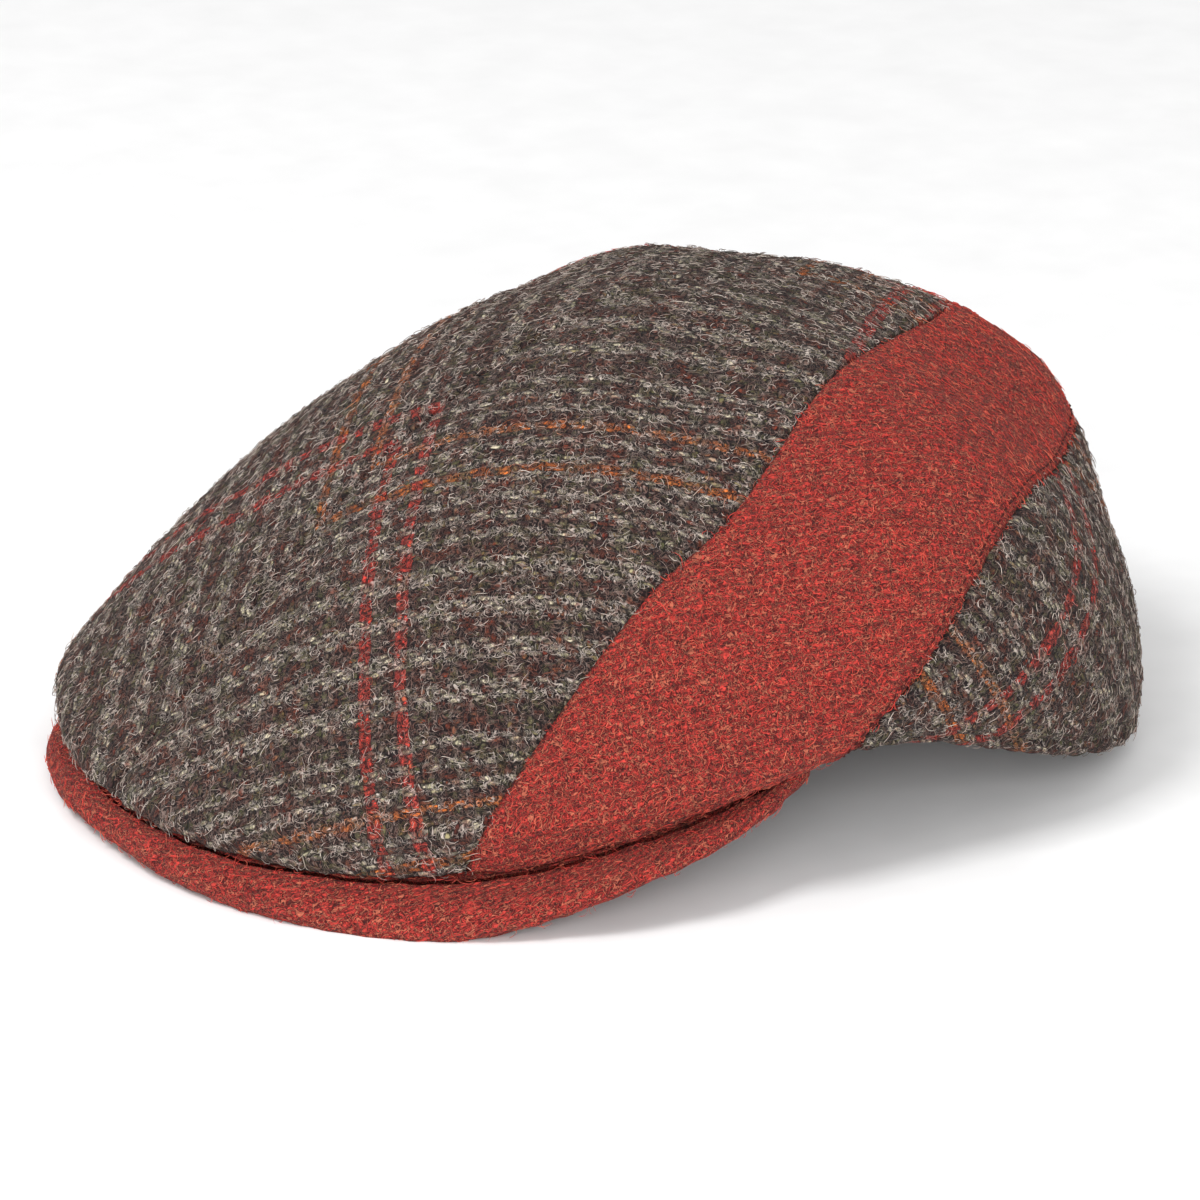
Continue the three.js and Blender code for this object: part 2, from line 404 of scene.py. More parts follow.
class Border(Enum):
    """How a panel's cloth ends.

    A value holds the edge's radius, the depth and width of the dip beside it, and the depth of the
    groove that a turned hem shows.
    """

    SEAM = (1.0, 0.55, 3.5, 0.0)
    CENTRE = (0.8, 0.3, 3.0, 0.0)
    RIM = (1.25, 0.0, 3.0, 0.0)
    HEM = (1.25, 0.0, 3.0, 1.3)

    def drop(self, distance: np.ndarray) -> np.ndarray:
        """A quarter round of the edge's radius, then two bells: the dip beside it and a fold's groove.

        Args:
            distance: Millimetres of cloth from the border.

        Returns:
            How far the cloth lies under the plain form, in millimetres.
        """
        radius, depth, width, groove = self.value
        short = radius - np.minimum(distance, radius)
        edge = radius - np.sqrt(radius**2 - short**2)
        fold = groove * np.exp(-(((distance - FOLD_PLACE) / FOLD_WIDTH) ** 2))
        return edge + depth * np.exp(-((distance / width) ** 2)) + fold


@dataclass(frozen=True)
class Dent:
    """A soft hollow of the cloth, or a soft swelling where its depth is negative.

    Its place is an angle in degrees, negative on the cap's right, and a reach; its sizes are in millimetres.
    """

    angle: float
    reach: float
    depth: float
    size: float


DENTS = (
    Dent(-140, 0.24, -2.0, 34), Dent(171, 0.61, -1.3, 13), Dent(160, 0.725, 1.9, 16),
    Dent(-174, 0.36, 0.9, 9), Dent(-24, 0.86, -1.5, 30), Dent(-62, 0.27, -1.0, 14),
    Dent(-46, 0.38, 1.0, 15), Dent(118, 0.83, 0.8, 13), Dent(60, 0.7, 0.9, 20),
    Dent(24, 0.72, 0.8, 22), Dent(74, 0.86, -0.8, 16), Dent(140, 0.4, 0.7, 20),
    Dent(-110, 0.7, 1.0, 22), Dent(-70, 0.6, 0.8, 18), Dent(-160, 0.75, 0.9, 16),
)


@dataclass
class Surface:
    """A finished grid of cloth: its places, outward normals, cloth coordinates and side of the cap."""

    points: np.ndarray
    normals: np.ndarray
    flat: np.ndarray
    side: int


def grid_normals(points: np.ndarray) -> np.ndarray:
    """Unit normals of a grid: the cross product of its two centred differences."""
    return unit(np.cross(np.gradient(points, axis=0), np.gradient(points, axis=1)))


class MeshParts:
    """Triangles gathered as arrays, welded where their corners meet, and made into one object."""

    def __init__(self, name: str) -> None:
        """Starts an empty mesh.

        Args:
            name: The name of the object and its mesh.
        """
        self.name = name
        self.points: list[np.ndarray] = []
        self.flat: list[np.ndarray] = []
        self.tone: list[np.ndarray] = []
        self.faces: list[np.ndarray] = []
        self.total = 0

    def add(self, points: np.ndarray, flat: np.ndarray, tone: np.ndarray | float, faces: np.ndarray) -> int:
        """Adds vertices and the triangles among them.

        Args:
            points: Places in millimetres.
            flat: Their cloth coordinates in millimetres.
            tone: Their tone, 0 on plain cloth.
            faces: Triangles, counted from the first of these vertices.

        Returns:
            The index of the first vertex added.
        """
        first = self.total
        points = points.reshape(-1, 3)
        self.points.append(points)
        self.flat.append(flat.reshape(-1, 2))
        self.tone.append(np.broadcast_to(tone, len(points)))
        self.faces.append(faces + first)
        self.total += len(points)
        return first

    def make(self, mirrored: bool = False, weld: bool = True) -> bpy.types.Object:
        """Welds equal points, drops the triangles that close up, and links the object.

        Args:
            mirrored: Whether the points were mirrored, so that the faces have to be turned round.
            weld: Whether points may coincide, which those of loose threads never do.

        Returns:
            The new object, with a smooth mesh in metres.
        """
        points = np.concatenate(self.points) * MM
        keep = new = np.arange(len(points))
        if weld:
            _, keep, new = np.unique(np.round(points, 7), axis=0, return_index=True, return_inverse=True)
        faces = new.reshape(-1)[np.concatenate(self.faces)]
        whole = (faces[:, 0] != faces[:, 1]) & (faces[:, 1] != faces[:, 2]) & (faces[:, 2] != faces[:, 0])
        faces = faces[whole]
        if mirrored:
            faces = faces[:, ::-1]
        mesh = bpy.data.meshes.new(self.name)
        mesh.vertices.add(len(keep))
        mesh.vertices.foreach_set("co", points[keep].astype(np.float32).ravel())
        mesh.loops.add(faces.size)
        mesh.loops.foreach_set("vertex_index", np.ascontiguousarray(faces).astype(np.int32).ravel())
        mesh.polygons.add(len(faces))
        mesh.polygons.foreach_set("loop_start", np.arange(0, faces.size, 3, dtype=np.int32))
        mesh.polygons.foreach_set("use_smooth", np.ones(len(faces), bool))
        mesh.update(calc_edges=True)
        layer = mesh.uv_layers.new(name=UV_NAME)
        flat = (np.concatenate(self.flat) * MM)[keep]
        layer.data.foreach_set("uv", flat[faces.ravel()].astype(np.float32).ravel())
        tone = mesh.attributes.new(TONE_NAME, "FLOAT", "POINT")
        tone.data.foreach_set("value", np.concatenate(self.tone)[keep].astype(np.float32))
        piece = bpy.data.objects.new(self.name, mesh)
        bpy.context.scene.collection.objects.link(piece)
        return piece


def grid_faces(rows: int, columns: int) -> np.ndarray:
    """Two triangles for each cell of a grid, their normal along the rows' step crossed with the columns'.

    Args:
        rows: How many rows of points there are.
        columns: How many columns of points there are.

    Returns:
        The triangles, as indices into the grid row by row.
    """
    index = np.arange(rows * columns).reshape(rows, columns)
    a, b, c, d = index[:-1, :-1], index[1:, :-1], index[1:, 1:], index[:-1, 1:]
    return np.concatenate([np.stack([a, b, c], -1).reshape(-1, 3), np.stack([a, c, d], -1).reshape(-1, 3)])


def border_index(rows: int, columns: int) -> np.ndarray:
    """Indices round the border of a grid, from the first corner down column 0."""
    index = np.arange(rows * columns).reshape(rows, columns)
    return np.concatenate([index[:-1, 0], index[-1, :-1], index[:0:-1, -1], index[0, :0:-1]])


@dataclass
class Panel:
    """A sewn panel of the crown: a fine outer sheet and a coarser inner one, closed round their border."""

    node: str
    side: int
    cloth: Cloth
    shape: CrownShape
    rows: int
    columns: int
    borders: tuple[Border, Border, Border, Border]
    grain: float
    fibres: int
    origin: tuple[float, float] = (0, 0)
    dents: tuple[Dent, ...] = DENTS
    thickness: float = 2.5
    coarse: int = 6
    sag: float = 0.55
    lump: float = 0.16
    calm_width: float = 14
    border_share: float = 0.25
    flat_rows: int = 31
    flat_columns: int = 15

    def seam_border(self, seam: tuple[SeamRow, ...]) -> np.ndarray:
        """A seam from the rim to the centre seam, with a point for each row of the grid."""
        return spread_even(lambda share: seam_curve(seam, share), 0, 1, self.rows, self.shape)

    def outline(self) -> tuple[np.ndarray, np.ndarray, np.ndarray, np.ndarray]:
        """The four border curves in the unit disk, as patch wants them."""
        raise NotImplementedError

    def cloth_places(self, points: np.ndarray) -> np.ndarray:
        """Flattens a coarse copy of the grid, refines it again and turns it to the cloth's grain.

        Args:
            points: The panel's plain grid.

        Returns:
            The cloth coordinates of every point, in millimetres.
        """
        rows, columns = points.shape[:2]
        some_rows = np.unique(np.linspace(0, rows - 1, self.flat_rows).round().astype(int))
        some_columns = np.unique(np.linspace(0, columns - 1, self.flat_columns).round().astype(int))
        flat = flatten(points[np.ix_(some_rows, some_columns)])
        along = through(some_rows, np.eye(len(some_rows)), np.arange(rows))
        across = through(some_columns, np.eye(len(some_columns)), np.arange(columns))
        flat = np.einsum("ri,ijk,cj->rck", along, flat, across)
        lean = flat[-1, 0] - flat[0, 0]
        turn = math.radians(self.grain) - (math.atan2(lean[1], lean[0]) - math.pi / 2)
        c, s = math.cos(turn), math.sin(turn)
        flat = (flat - flat[0, 0]) @ np.array([[c, s], [-s, c]])
        return flat + np.array(self.origin)

    def relief(self, points: np.ndarray) -> np.ndarray:
        """Soft sag and dents, which fade out towards the borders, with lumps and the borders' drops.

        Args:
            points: The panel's plain grid, on the cap's left.

        Returns:
            The height over the plain form in millimetres.
        """
        real = points * np.array([self.side, 1, 1])
        height = self.sag * sum(share * waves(real, size, seed) for size, seed, share in SAG_WAVES) / 2
        for dent in self.dents:
            centre = self.shape.point(np.radians(dent.angle), np.array(dent.reach))
            away = np.linalg.norm(real - centre, axis=-1)
            height = height - dent.depth * np.exp(-((away / dent.size) ** 2))
        across, along = lengths(points, 1), lengths(points, 0)
        distances = (across, across[:, -1:] - across, along, along[-1:] - along)
        calm = 1
        for border, distance in zip(self.borders, distances):
            calm = calm * smooth(0, self.calm_width, distance)
        height = height * (self.border_share + (1 - self.border_share) * calm) + lumps(real, self.lump)
        for border, distance in zip(self.borders, distances):
            height = height - border.drop(distance)
        return height

    def surface(self) -> Surface:
        """The outer sheet on this panel's side of the cap; the inner one is kept for build.

        Returns:
            The plain form in the panel's outline, moved out along its normals by the relief.
        """
        places = polar(patch(*self.outline()))
        angle, reach = places[..., 0], np.minimum(places[..., 1], 1)
        plain = self.shape.soft_point(angle, reach)
        normals = grid_normals(plain)
        hollow = np.array([0, self.shape.top_y, self.shape.hollow_height])
        outward = np.sum(normals * (plain - hollow))
        normals *= np.sign(outward)
        points = plain + normals * self.relief(plain)[..., None]
        points[..., 2] = np.maximum(points[..., 2], 0)
        self.turned = outward < 0
        self.inner = self.shape.point(angle, reach, self.thickness)[:: self.coarse, :: self.coarse]
        flip = np.array([self.side, 1, 1])
        return Surface(points * flip, normals * flip, self.cloth_places(plain), self.side)

    def build(self, surface: Surface) -> bpy.types.Object:
        """Closes the outer and inner sheets into one thin wall.

        Args:
            surface: The outer sheet.

        Returns:
            The panel's object.
        """
        rows, columns = surface.points.shape[:2]
        mesh = MeshParts(self.node + "_cloth")
        outer = mesh.add(surface.points, surface.flat, 0, grid_faces(rows, columns))
        inner_points = self.inner * np.array([self.side, 1, 1])
        inner_flat = surface.flat[:: self.coarse, :: self.coarse]
        faces = grid_faces(*inner_points.shape[:2])[:, ::-1]
        inner = mesh.add(inner_points, inner_flat, 0, faces)
        mesh.faces.append(self.wall(border_index(rows, columns) + outer,
                                    border_index(*inner_points.shape[:2]) + inner))
        return mesh.make(mirrored=self.turned != (self.side < 0))

    def wall(self, fine: np.ndarray, rough: np.ndarray) -> np.ndarray:
        """Closes the gap between the two sheets with fans of triangles.

        Args:
            fine: Indices round the outer sheet's border.
            rough: Indices round the inner sheet's border, one for every few of the fine ones.

        Returns:
            The triangles.
        """
        half = self.coarse // 2
        holder = rough[(np.arange(len(fine)) + half) // self.coarse % len(rough)]
        middle = fine[(np.arange(1, len(rough) + 1) * self.coarse - half) % len(fine)]
        fans = np.stack([np.roll(fine, -1), fine, holder], -1)
        return np.concatenate([fans, np.stack([middle, rough, np.roll(rough, -1)], -1)])


class TopPanel(Panel):
    """Half of the tweed top: from the centre seam out to the rim and the front seam."""

    def outline(self) -> tuple[np.ndarray, np.ndarray, np.ndarray, np.ndarray]:
        """The panel's four borders.

        Returns:
            Centre seam, front seam, rim, and the corner at the back where the two seams meet.
        """
        corner, back = FRONT_SEAM[0], FRONT_SEAM[-1]
        near = spread_even(centre_curve, -1, back.reach, self.rows, self.shape)
        first = spread_even(rim_curve, 0, math.radians(corner.angle), self.columns, self.shape)
        return near, self.seam_border(FRONT_SEAM), first, np.repeat(near[-1:], self.columns, 0)


class SideBand(Panel):
    """The slanting red band between the front seam and the rear seam."""

    def outline(self) -> tuple[np.ndarray, np.ndarray, np.ndarray, np.ndarray]:
        """The band's four borders.

        Returns:
            Front seam, rear seam, the rim between them, and the centre seam between them.
        """
        front, rear = FRONT_SEAM, REAR_SEAM
        start, end = math.radians(front[0].angle), math.radians(rear[0].angle)
        first = spread_even(rim_curve, start, end, self.columns, self.shape)
        last = spread_even(centre_curve, front[-1].reach, rear[-1].reach, self.columns, self.shape)
        return self.seam_border(front), self.seam_border(rear), first, last


class RearPanel(Panel):
    """The tweed panel at the side and back: from the rear seam down to the hem."""

    def outline(self) -> tuple[np.ndarray, np.ndarray, np.ndarray, np.ndarray]:
        """The panel's four borders.

        Returns:
            Hem, rear seam, the corner at the side where they meet, and the centre seam at the back.
        """
        start, top = math.radians(REAR_SEAM[0].angle), REAR_SEAM[-1].reach
        near = spread_even(rim_curve, start, math.pi, self.rows, self.shape)
        last = spread_even(centre_curve, 1, top, self.columns, self.shape)
        return near, self.seam_border(REAR_SEAM), np.repeat(near[:1], self.columns, 0), last


@dataclass
class Peak:
    """The peak: a closed loop of points carried round the front, drawn in to a small cap at both ends."""

    node: str
    shape: CrownShape
    end: float = 80
    sections: int = 241
    gap: float = 0.3
    cloth: float = 2.5
    board: float = 5
    edge_depth: float = 5
    top_slope: float = 0.35
    edge_steps: int = 20
    under_steps: int = 12
    back_steps: int = 6
    tuck: float = 0.5
    taper: float = 3.0
    sag: float = 0.35
    lump: float = 0.14
    puff: float = 1.1
    crease_depth: float = 1.0
    crease_share: float = 0.2
    grain: float = math.radians(62)
    arc_radius: float = 118
    end_radius: float = 100
    end_size: float = 0.02
    sag_size: float = 32
    sag_seed: int = 11

    def loops(self, angle: np.ndarray) -> np.ndarray:
        """Cross-sections as radius and height, by angle in radians.

        The edge is a cubic Bezier curve from the crease under the crown to the underside, the
        underside is bowed in to the head opening, and a flat strip lies under the crown's rim.

        Args:
            angle: Angles round the crown's highest point.

        Returns:
            An array by angle, loop point, and radius or height.
        """
        size = np.abs(angle)
        table = np.array(PEAK, float)
        value = through(np.radians(table[:, 0]), table[:, 1:], size, even_start=True)
        overhang, low, inner, inner_height, bow = np.moveaxis(value, -1, 0)[..., None]
        rim = self.shape.rim_radius(size)[:, None]
        edge = rim + overhang
        crease = np.minimum(rim + self.tuck, edge - 1)
        crease_height = self.shape.column("rim_height", size)[:, None] - self.gap
        under = edge - self.edge_depth
        front = (edge - (crease + under) / 8) / 0.75
        bend = crease_height - self.top_slope * (front - crease)
        t = np.linspace(0, 1, self.edge_steps)
        weights = np.stack([(1 - t) ** 3, 3 * t * (1 - t) ** 2, 3 * t * t * (1 - t), t**3], 0)
        curve = [[crease, crease_height], [front, bend], [front, low], [under, low]]
        edge_radius = sum(weights[k] * curve[k][0] for k in range(4))
        edge_z = sum(weights[k] * curve[k][1] for k in range(4))
        w = np.linspace(0, 1, self.under_steps + 1)[1:]
        under_z = low + (inner_height - self.board - low) * (1 - (1 - w) ** bow)
        under_radius = under + (inner - under) * w
        behind = crease - self.cloth - 2 * self.gap - self.tuck
        v = np.linspace(0, 1, self.back_steps + 1)
        back_radius = inner + (behind - inner) * v
        back_z = inner_height + (crease_height - inner_height) * v
        radius = np.concatenate([edge_radius, under_radius, back_radius], 1)
        height = np.concatenate([edge_z, under_z, back_z], 1)
        return np.stack([radius, height], -1)

    @staticmethod
    def rounded(loop: np.ndarray) -> np.ndarray:
        """Cuts every corner of the closed loops at a quarter of its two sides.

        Args:
            loop: Points by section and place in the loop.

        Returns:
            The loops, with twice as many points.
        """
        after = np.roll(loop, -1, 1)
        cut = np.stack([0.75 * loop + 0.25 * after, 0.25 * loop + 0.75 * after], 2)
        return cut.reshape(len(loop), -1, loop.shape[-1])

    def surface(self) -> Surface:
        """The peak's skin: the loops drawn in at both ends, turned to their angles and given their relief.

        Returns:
            The skin by angle and place in the loop, its last column repeating the first one.
        """
        limit = math.radians(self.end)
        angle = np.linspace(-limit, limit, self.sections)
        loop = self.rounded(self.loops(angle))
        middle = loop.mean(1, keepdims=True)
        left = (limit - np.abs(angle)) * self.end_radius / self.taper
        draw = np.sqrt(1 - (1 - np.clip(left, 0, 1)) ** 2)[:, None, None]
        loop = middle + (loop - middle) * (self.end_size + (1 - self.end_size) * draw)
        loop = np.concatenate([loop, loop[:, :1]], 1)
        a = angle[:, None]
        radius, height = loop[..., 0], loop[..., 1]
        points = np.stack([radius * np.sin(a), self.shape.top_y - radius * np.cos(a), height], -1)
        normals = grid_normals(points)
        normals[:, :1] = normals[:, -1:] = unit(normals[:, 0] + normals[:, -1])[:, None]
        centre = points.mean(1, keepdims=True)
        self.turned = np.sum(normals * (points - centre)) < 0
        normals *= -1 if self.turned else 1
        upper = smooth(-0.6, 0.2, normals[..., 2])
        sag = self.sag * waves(points, self.sag_size, self.sag_seed) * upper
        sag = sag + lumps(points, self.lump)
        place = np.arange(loop.shape[1]) / (2 * self.edge_steps)
        puff = self.puff * np.sin(np.pi * np.clip(place, 0, 1)) ** 2 * draw[..., 0]
        crease = self.crease_depth * np.exp(-((place / self.crease_share) ** 2)) * draw[..., 0]
        points = points + normals * (sag + puff - crease)[..., None]
        points[..., 2] = np.maximum(points[..., 2], 0)
        along, girth = np.broadcast_to(a * self.arc_radius, loop.shape[:2]), lengths(points, 1)
        c, s = math.cos(self.grain), math.sin(self.grain)
        flat = np.stack([along * c + girth * s, girth * c - along * s], -1)
        return Surface(points, normals, flat, 1)

    def build(self, surface: Surface) -> bpy.types.Object:
        """Makes the peak's object, its two ends closed by a fan round their middle.

        Args:
            surface: The peak's skin.

        Returns:
            The object.
        """
        rows, columns = surface.points.shape[:2]
        mesh = MeshParts(self.node + "_cloth")
        first = mesh.add(surface.points, surface.flat, 0, grid_faces(rows, columns))
        for row, order in ((0, 1), (rows - 1, -1)):
            ring = first + row * columns + np.arange(columns)
            middle = surface.points[row, :-1].mean(0)
            tip = mesh.add(middle, surface.flat[row].mean(0), 0, np.empty((0, 3), int))
            fan = np.stack([ring[:-1], ring[1:], np.full(columns - 1, tip)], -1)
            mesh.faces.append(fan[:, ::order])
        return mesh.make(mirrored=self.turned)


@dataclass
class Threads:
    """Thin closed threads of three sides along given paths, all in one mesh."""

    name: str

    def build(self, paths: np.ndarray, ahead: np.ndarray, up: np.ndarray, radius: np.ndarray,
              flat: np.ndarray, tone: np.ndarray) -> bpy.types.Object:
        """Carries a triangle along each path and closes it to a tip at both ends.

        Args:
            paths: Points by thread and step.
            ahead: The main direction of each thread.
            up: The outward direction of each thread.
            radius: The radius at each thread's inner steps.
            flat: The cloth coordinates of each thread's root.
            tone: The tone of each thread.

        Returns:
            The object.
        """
        count, steps = paths.shape[:2]
        beside = np.cross(up, ahead)
        turn = np.arange(3) * 2 * np.pi / 3
        ring = np.cos(turn)[:, None] * beside[:, None] + np.sin(turn)[:, None] * up[:, None]
        rings = paths[:, 1:-1, None] + ring[:, None] * radius[..., None, None]
        points = np.concatenate([paths[:, :1], rings.reshape(count, -1, 3), paths[:, -1:]], 1)
        a = 1 + 3 * np.arange(steps - 3)[:, None] + np.arange(3)
        b = 1 + 3 * np.arange(steps - 3)[:, None] + (np.arange(3) + 1) % 3
        end = 3 * (steps - 2) + 1
        first, last = np.arange(3) + 1, np.arange(3) + end - 3
        sides = np.concatenate([np.stack([a, b, b + 3], -1), np.stack([a, b + 3, a + 3], -1)]).reshape(-1, 3)
        start_fan = np.stack([np.zeros(3, int), np.roll(first, -1), first], -1)
        end_fan = np.stack([last, np.roll(last, -1), np.full(3, end)], -1)
        one = np.concatenate([start_fan, sides, end_fan])
        faces = (one[None] + np.arange(count)[:, None, None] * (end + 1)).reshape(-1, 3)
        mesh = MeshParts(self.name)
        spread = np.repeat(flat[:, None], end + 1, 1)
        mesh.add(points, spread, np.repeat(tone, end + 1), faces)
        return mesh.make(weld=False)


@dataclass
class Nap:
    """Loose curled wool fibres on a piece's cloth, rooted evenly over its area."""

    node: str
    count: int
    seed: int
    lift: float
    steps: int = 6
    shortest: float = 1.8
    longest: float = 5.5
    tightest: float = 0.6
    radius: float = 0.08
    lowest_normal: float = -0.8
    swing: float = 0.22
    sunk: float = 0.06
    floor_gap: float = 0.12
    cycle_range: tuple[float, float] = (0.6, 1.4)
    lift_range: tuple[float, float] = (0.15, 2.2)
    lying_range: tuple[float, float] = (0.3, 1)
    radius_range: tuple[float, float] = (0.7, 1.25)
    tone_range: tuple[float, float] = (0.05, 1)

    def build(self, surface: Surface) -> bpy.types.Object:
        """Draws roots, directions and curls, and carries each fibre along an arc that leaves the cloth.

        A fibre runs along an arc of its own radius in the cloth's plane, swings from side to side, and
        rises by a mix of a full hump, which lies down again, and a square, whose end stands free.

        Args:
            surface: The cloth's outer sheet.

        Returns:
            The fibres as one object.
        """
        rng = np.random.default_rng(self.seed)
        p, n, f = surface.points, surface.normals, surface.flat
        across, along = p[:-1, 1:] - p[:-1, :-1], p[1:, :-1] - p[:-1, :-1]
        area = np.linalg.norm(np.cross(across, along), axis=-1) * (n[:-1, :-1, 2] > self.lowest_normal)
        cell = rng.choice(area.size, self.count, p=area.ravel() / area.sum())
        row, column = np.divmod(cell, area.shape[1])
        s, t = rng.uniform(size=(2, self.count, 1))

        def between(grid: np.ndarray) -> np.ndarray:
            """The grid's value at each root, from its cell's four corners.

            Args:
                grid: Values by row and column.

            Returns:
                A value for each fibre.
            """
            near = grid[row, column] * (1 - t) + grid[row, column + 1] * t
            far = grid[row + 1, column] * (1 - t) + grid[row + 1, column + 1] * t
            return near * (1 - s) + far * s

        root, up, flat = between(p), unit(between(n)), between(f)
        ahead = rng.normal(size=(self.count, 3))
        ahead = unit(ahead - up * np.sum(ahead * up, -1, keepdims=True))
        beside = np.cross(up, ahead)
        length = rng.uniform(self.shortest, self.longest, (self.count, 1))
        bend = rng.choice([-1, 1], (self.count, 1)) / (self.tightest + rng.exponential(1.0, (self.count, 1)))
        place = np.linspace(0, 1, self.steps)[None]
        turn = bend * length * place
        forward = np.sin(turn) / bend
        cycles = place * rng.uniform(*self.cycle_range, (self.count, 1)) + rng.uniform(size=(self.count, 1))
        swing = self.swing * np.sin(2 * np.pi * cycles)
        sideways = (1 - np.cos(turn)) / bend + swing - swing[:, :1]
        lift = self.lift * rng.exponential(1, (self.count, 1)).clip(*self.lift_range)
        lying = rng.uniform(*self.lying_range, (self.count, 1))
        rise = lift * (lying * np.sin(np.pi * place) + (1 - lying) * place**2) - self.sunk
        paths = (root[:, None] + ahead[:, None] * forward[..., None] + beside[:, None] * sideways[..., None]
                 + up[:, None] * rise[..., None])
        paths[..., 2] = np.maximum(paths[..., 2], self.floor_gap)
        radius = np.full((self.count, self.steps - 2), self.radius)
        radius = radius * rng.uniform(*self.radius_range, (self.count, 1))
        tone = rng.uniform(*self.tone_range, self.count)
        return Threads(self.node + "_nap").build(paths, ahead, up, radius, flat, tone)


@dataclass
class Topstitch:
    """A row of machine stitches on a band, at an even distance from its rear seam."""

    node: str
    distance: float = 3.6
    pitch: float = 2.7
    length: float = 2.0
    radius: float = 0.25
    hump: float = 0.4
    sunk: float = 0.16
    steps: int = 6

    def build(self, surface: Surface) -> bpy.types.Object:
        """Finds the row by the running length in from the seam, and lays a short thread for each stitch.

        Args:
            surface: The band's outer sheet.

        Returns:
            The stitches as one object.
        """
        across = lengths(surface.points, 1)
        depth = across[:, -1:] - across
        rows = np.flatnonzero(depth[:, 0] > 2 * self.distance)
        after = np.argmax(depth < self.distance, 1)[rows]
        far, near = depth[rows, after - 1], depth[rows, after]
        share = ((far - self.distance) / (far - near))[:, None]

        def on_row(grid: np.ndarray) -> np.ndarray:
            """The grid's value where its depth is the row's distance."""
            return grid[rows, after - 1] * (1 - share) + grid[rows, after] * share

        route, up = on_row(surface.points), on_row(surface.normals)
        run = lengths(route, 0)
        start = np.arange(self.pitch, run[-1] - self.pitch, self.pitch)
        share = np.linspace(0, 1, self.steps)
        place = start[:, None] + self.length * (share - 0.5)
        paths = np.stack([np.interp(place, run, route[:, k]) for k in range(3)], -1)
        middle = unit(np.stack([np.interp(start, run, up[:, k]) for k in range(3)], -1))
        hump = self.hump * np.sin(np.pi * share) - self.sunk
        paths = paths + middle[:, None] * hump[None, :, None]
        ahead = unit(paths[:, -1] - paths[:, 0])
        radius = np.full((len(start), self.steps - 2), self.radius)
        flat = np.stack([start, np.zeros_like(start)], -1)
        tone = np.zeros(len(start))
        return Threads(self.node + "_topstitch").build(paths, ahead, middle, radius, flat, tone)


GLOSS = 0.2
SHEEN_ROUGHNESS = 0.5
CLOTH_ROUGHNESS = 0.95
CLOTH_SHEEN = 0.03


class Value:
    """A shader socket on which Python's operators act, each adding one Math node."""

    def __init__(self, shade: "Shade", socket: bpy.types.NodeSocket) -> None:
        """Wraps one output socket of a material."""
        self.shade = shade
        self.socket = socket

    def maths(self, operation: str, *others: Any) -> "Value":
        """One Math node of this value and up to two others."""
        values = dict(enumerate((self, *others)))
        return self.shade.node("ShaderNodeMath", {"operation": operation}, values)

    def __add__(self, other: Any) -> "Value":
        """The sum."""
        return self.maths("ADD", other)

    __radd__ = __add__

    def __mul__(self, other: Any) -> "Value":
        """The product."""
        return self.maths("MULTIPLY", other)

    __rmul__ = __mul__

    def __sub__(self, other: Any) -> "Value":
        """The difference."""
        return self.maths("SUBTRACT", other)

    def __rsub__(self, other: Any) -> "Value":
        """The difference from a number."""
        return self * -1 + other

    def __truediv__(self, other: Any) -> "Value":
        """The quotient."""
        return self.maths("DIVIDE", other)

    def __abs__(self) -> "Value":
        """The absolute value."""
        return self.maths("ABSOLUTE")

    def __mod__(self, other: Any) -> "Value":
        """What is left of a division, never negative."""
        return self.maths("FLOORED_MODULO", other)

    def __lt__(self, other: Any) -> "Value":
        """1 where this is less than the other."""
        return self.maths("LESS_THAN", other)

    def __gt__(self, other: Any) -> "Value":
        """1 where this is greater than the other."""
        return self.maths("GREATER_THAN", other)

    def floor(self) -> "Value":
        """The whole number below."""
        return self.maths("FLOOR")

    def cos(self) -> "Value":
        """The cosine."""
        return self.maths("COSINE")

    def highest(self, other: Any) -> "Value":
        """The greater of two values."""
        return self.maths("MAXIMUM", other)

    def step(self, low: float, high: float) -> "Value":
        """0 below low and 1 above high, smooth between them; the other way round if low is the greater."""
        ends = {"Value": self, "From Min": low, "From Max": high}
        return self.shade.node("ShaderNodeMapRange", {"interpolation_type": "SMOOTHSTEP"}, ends)


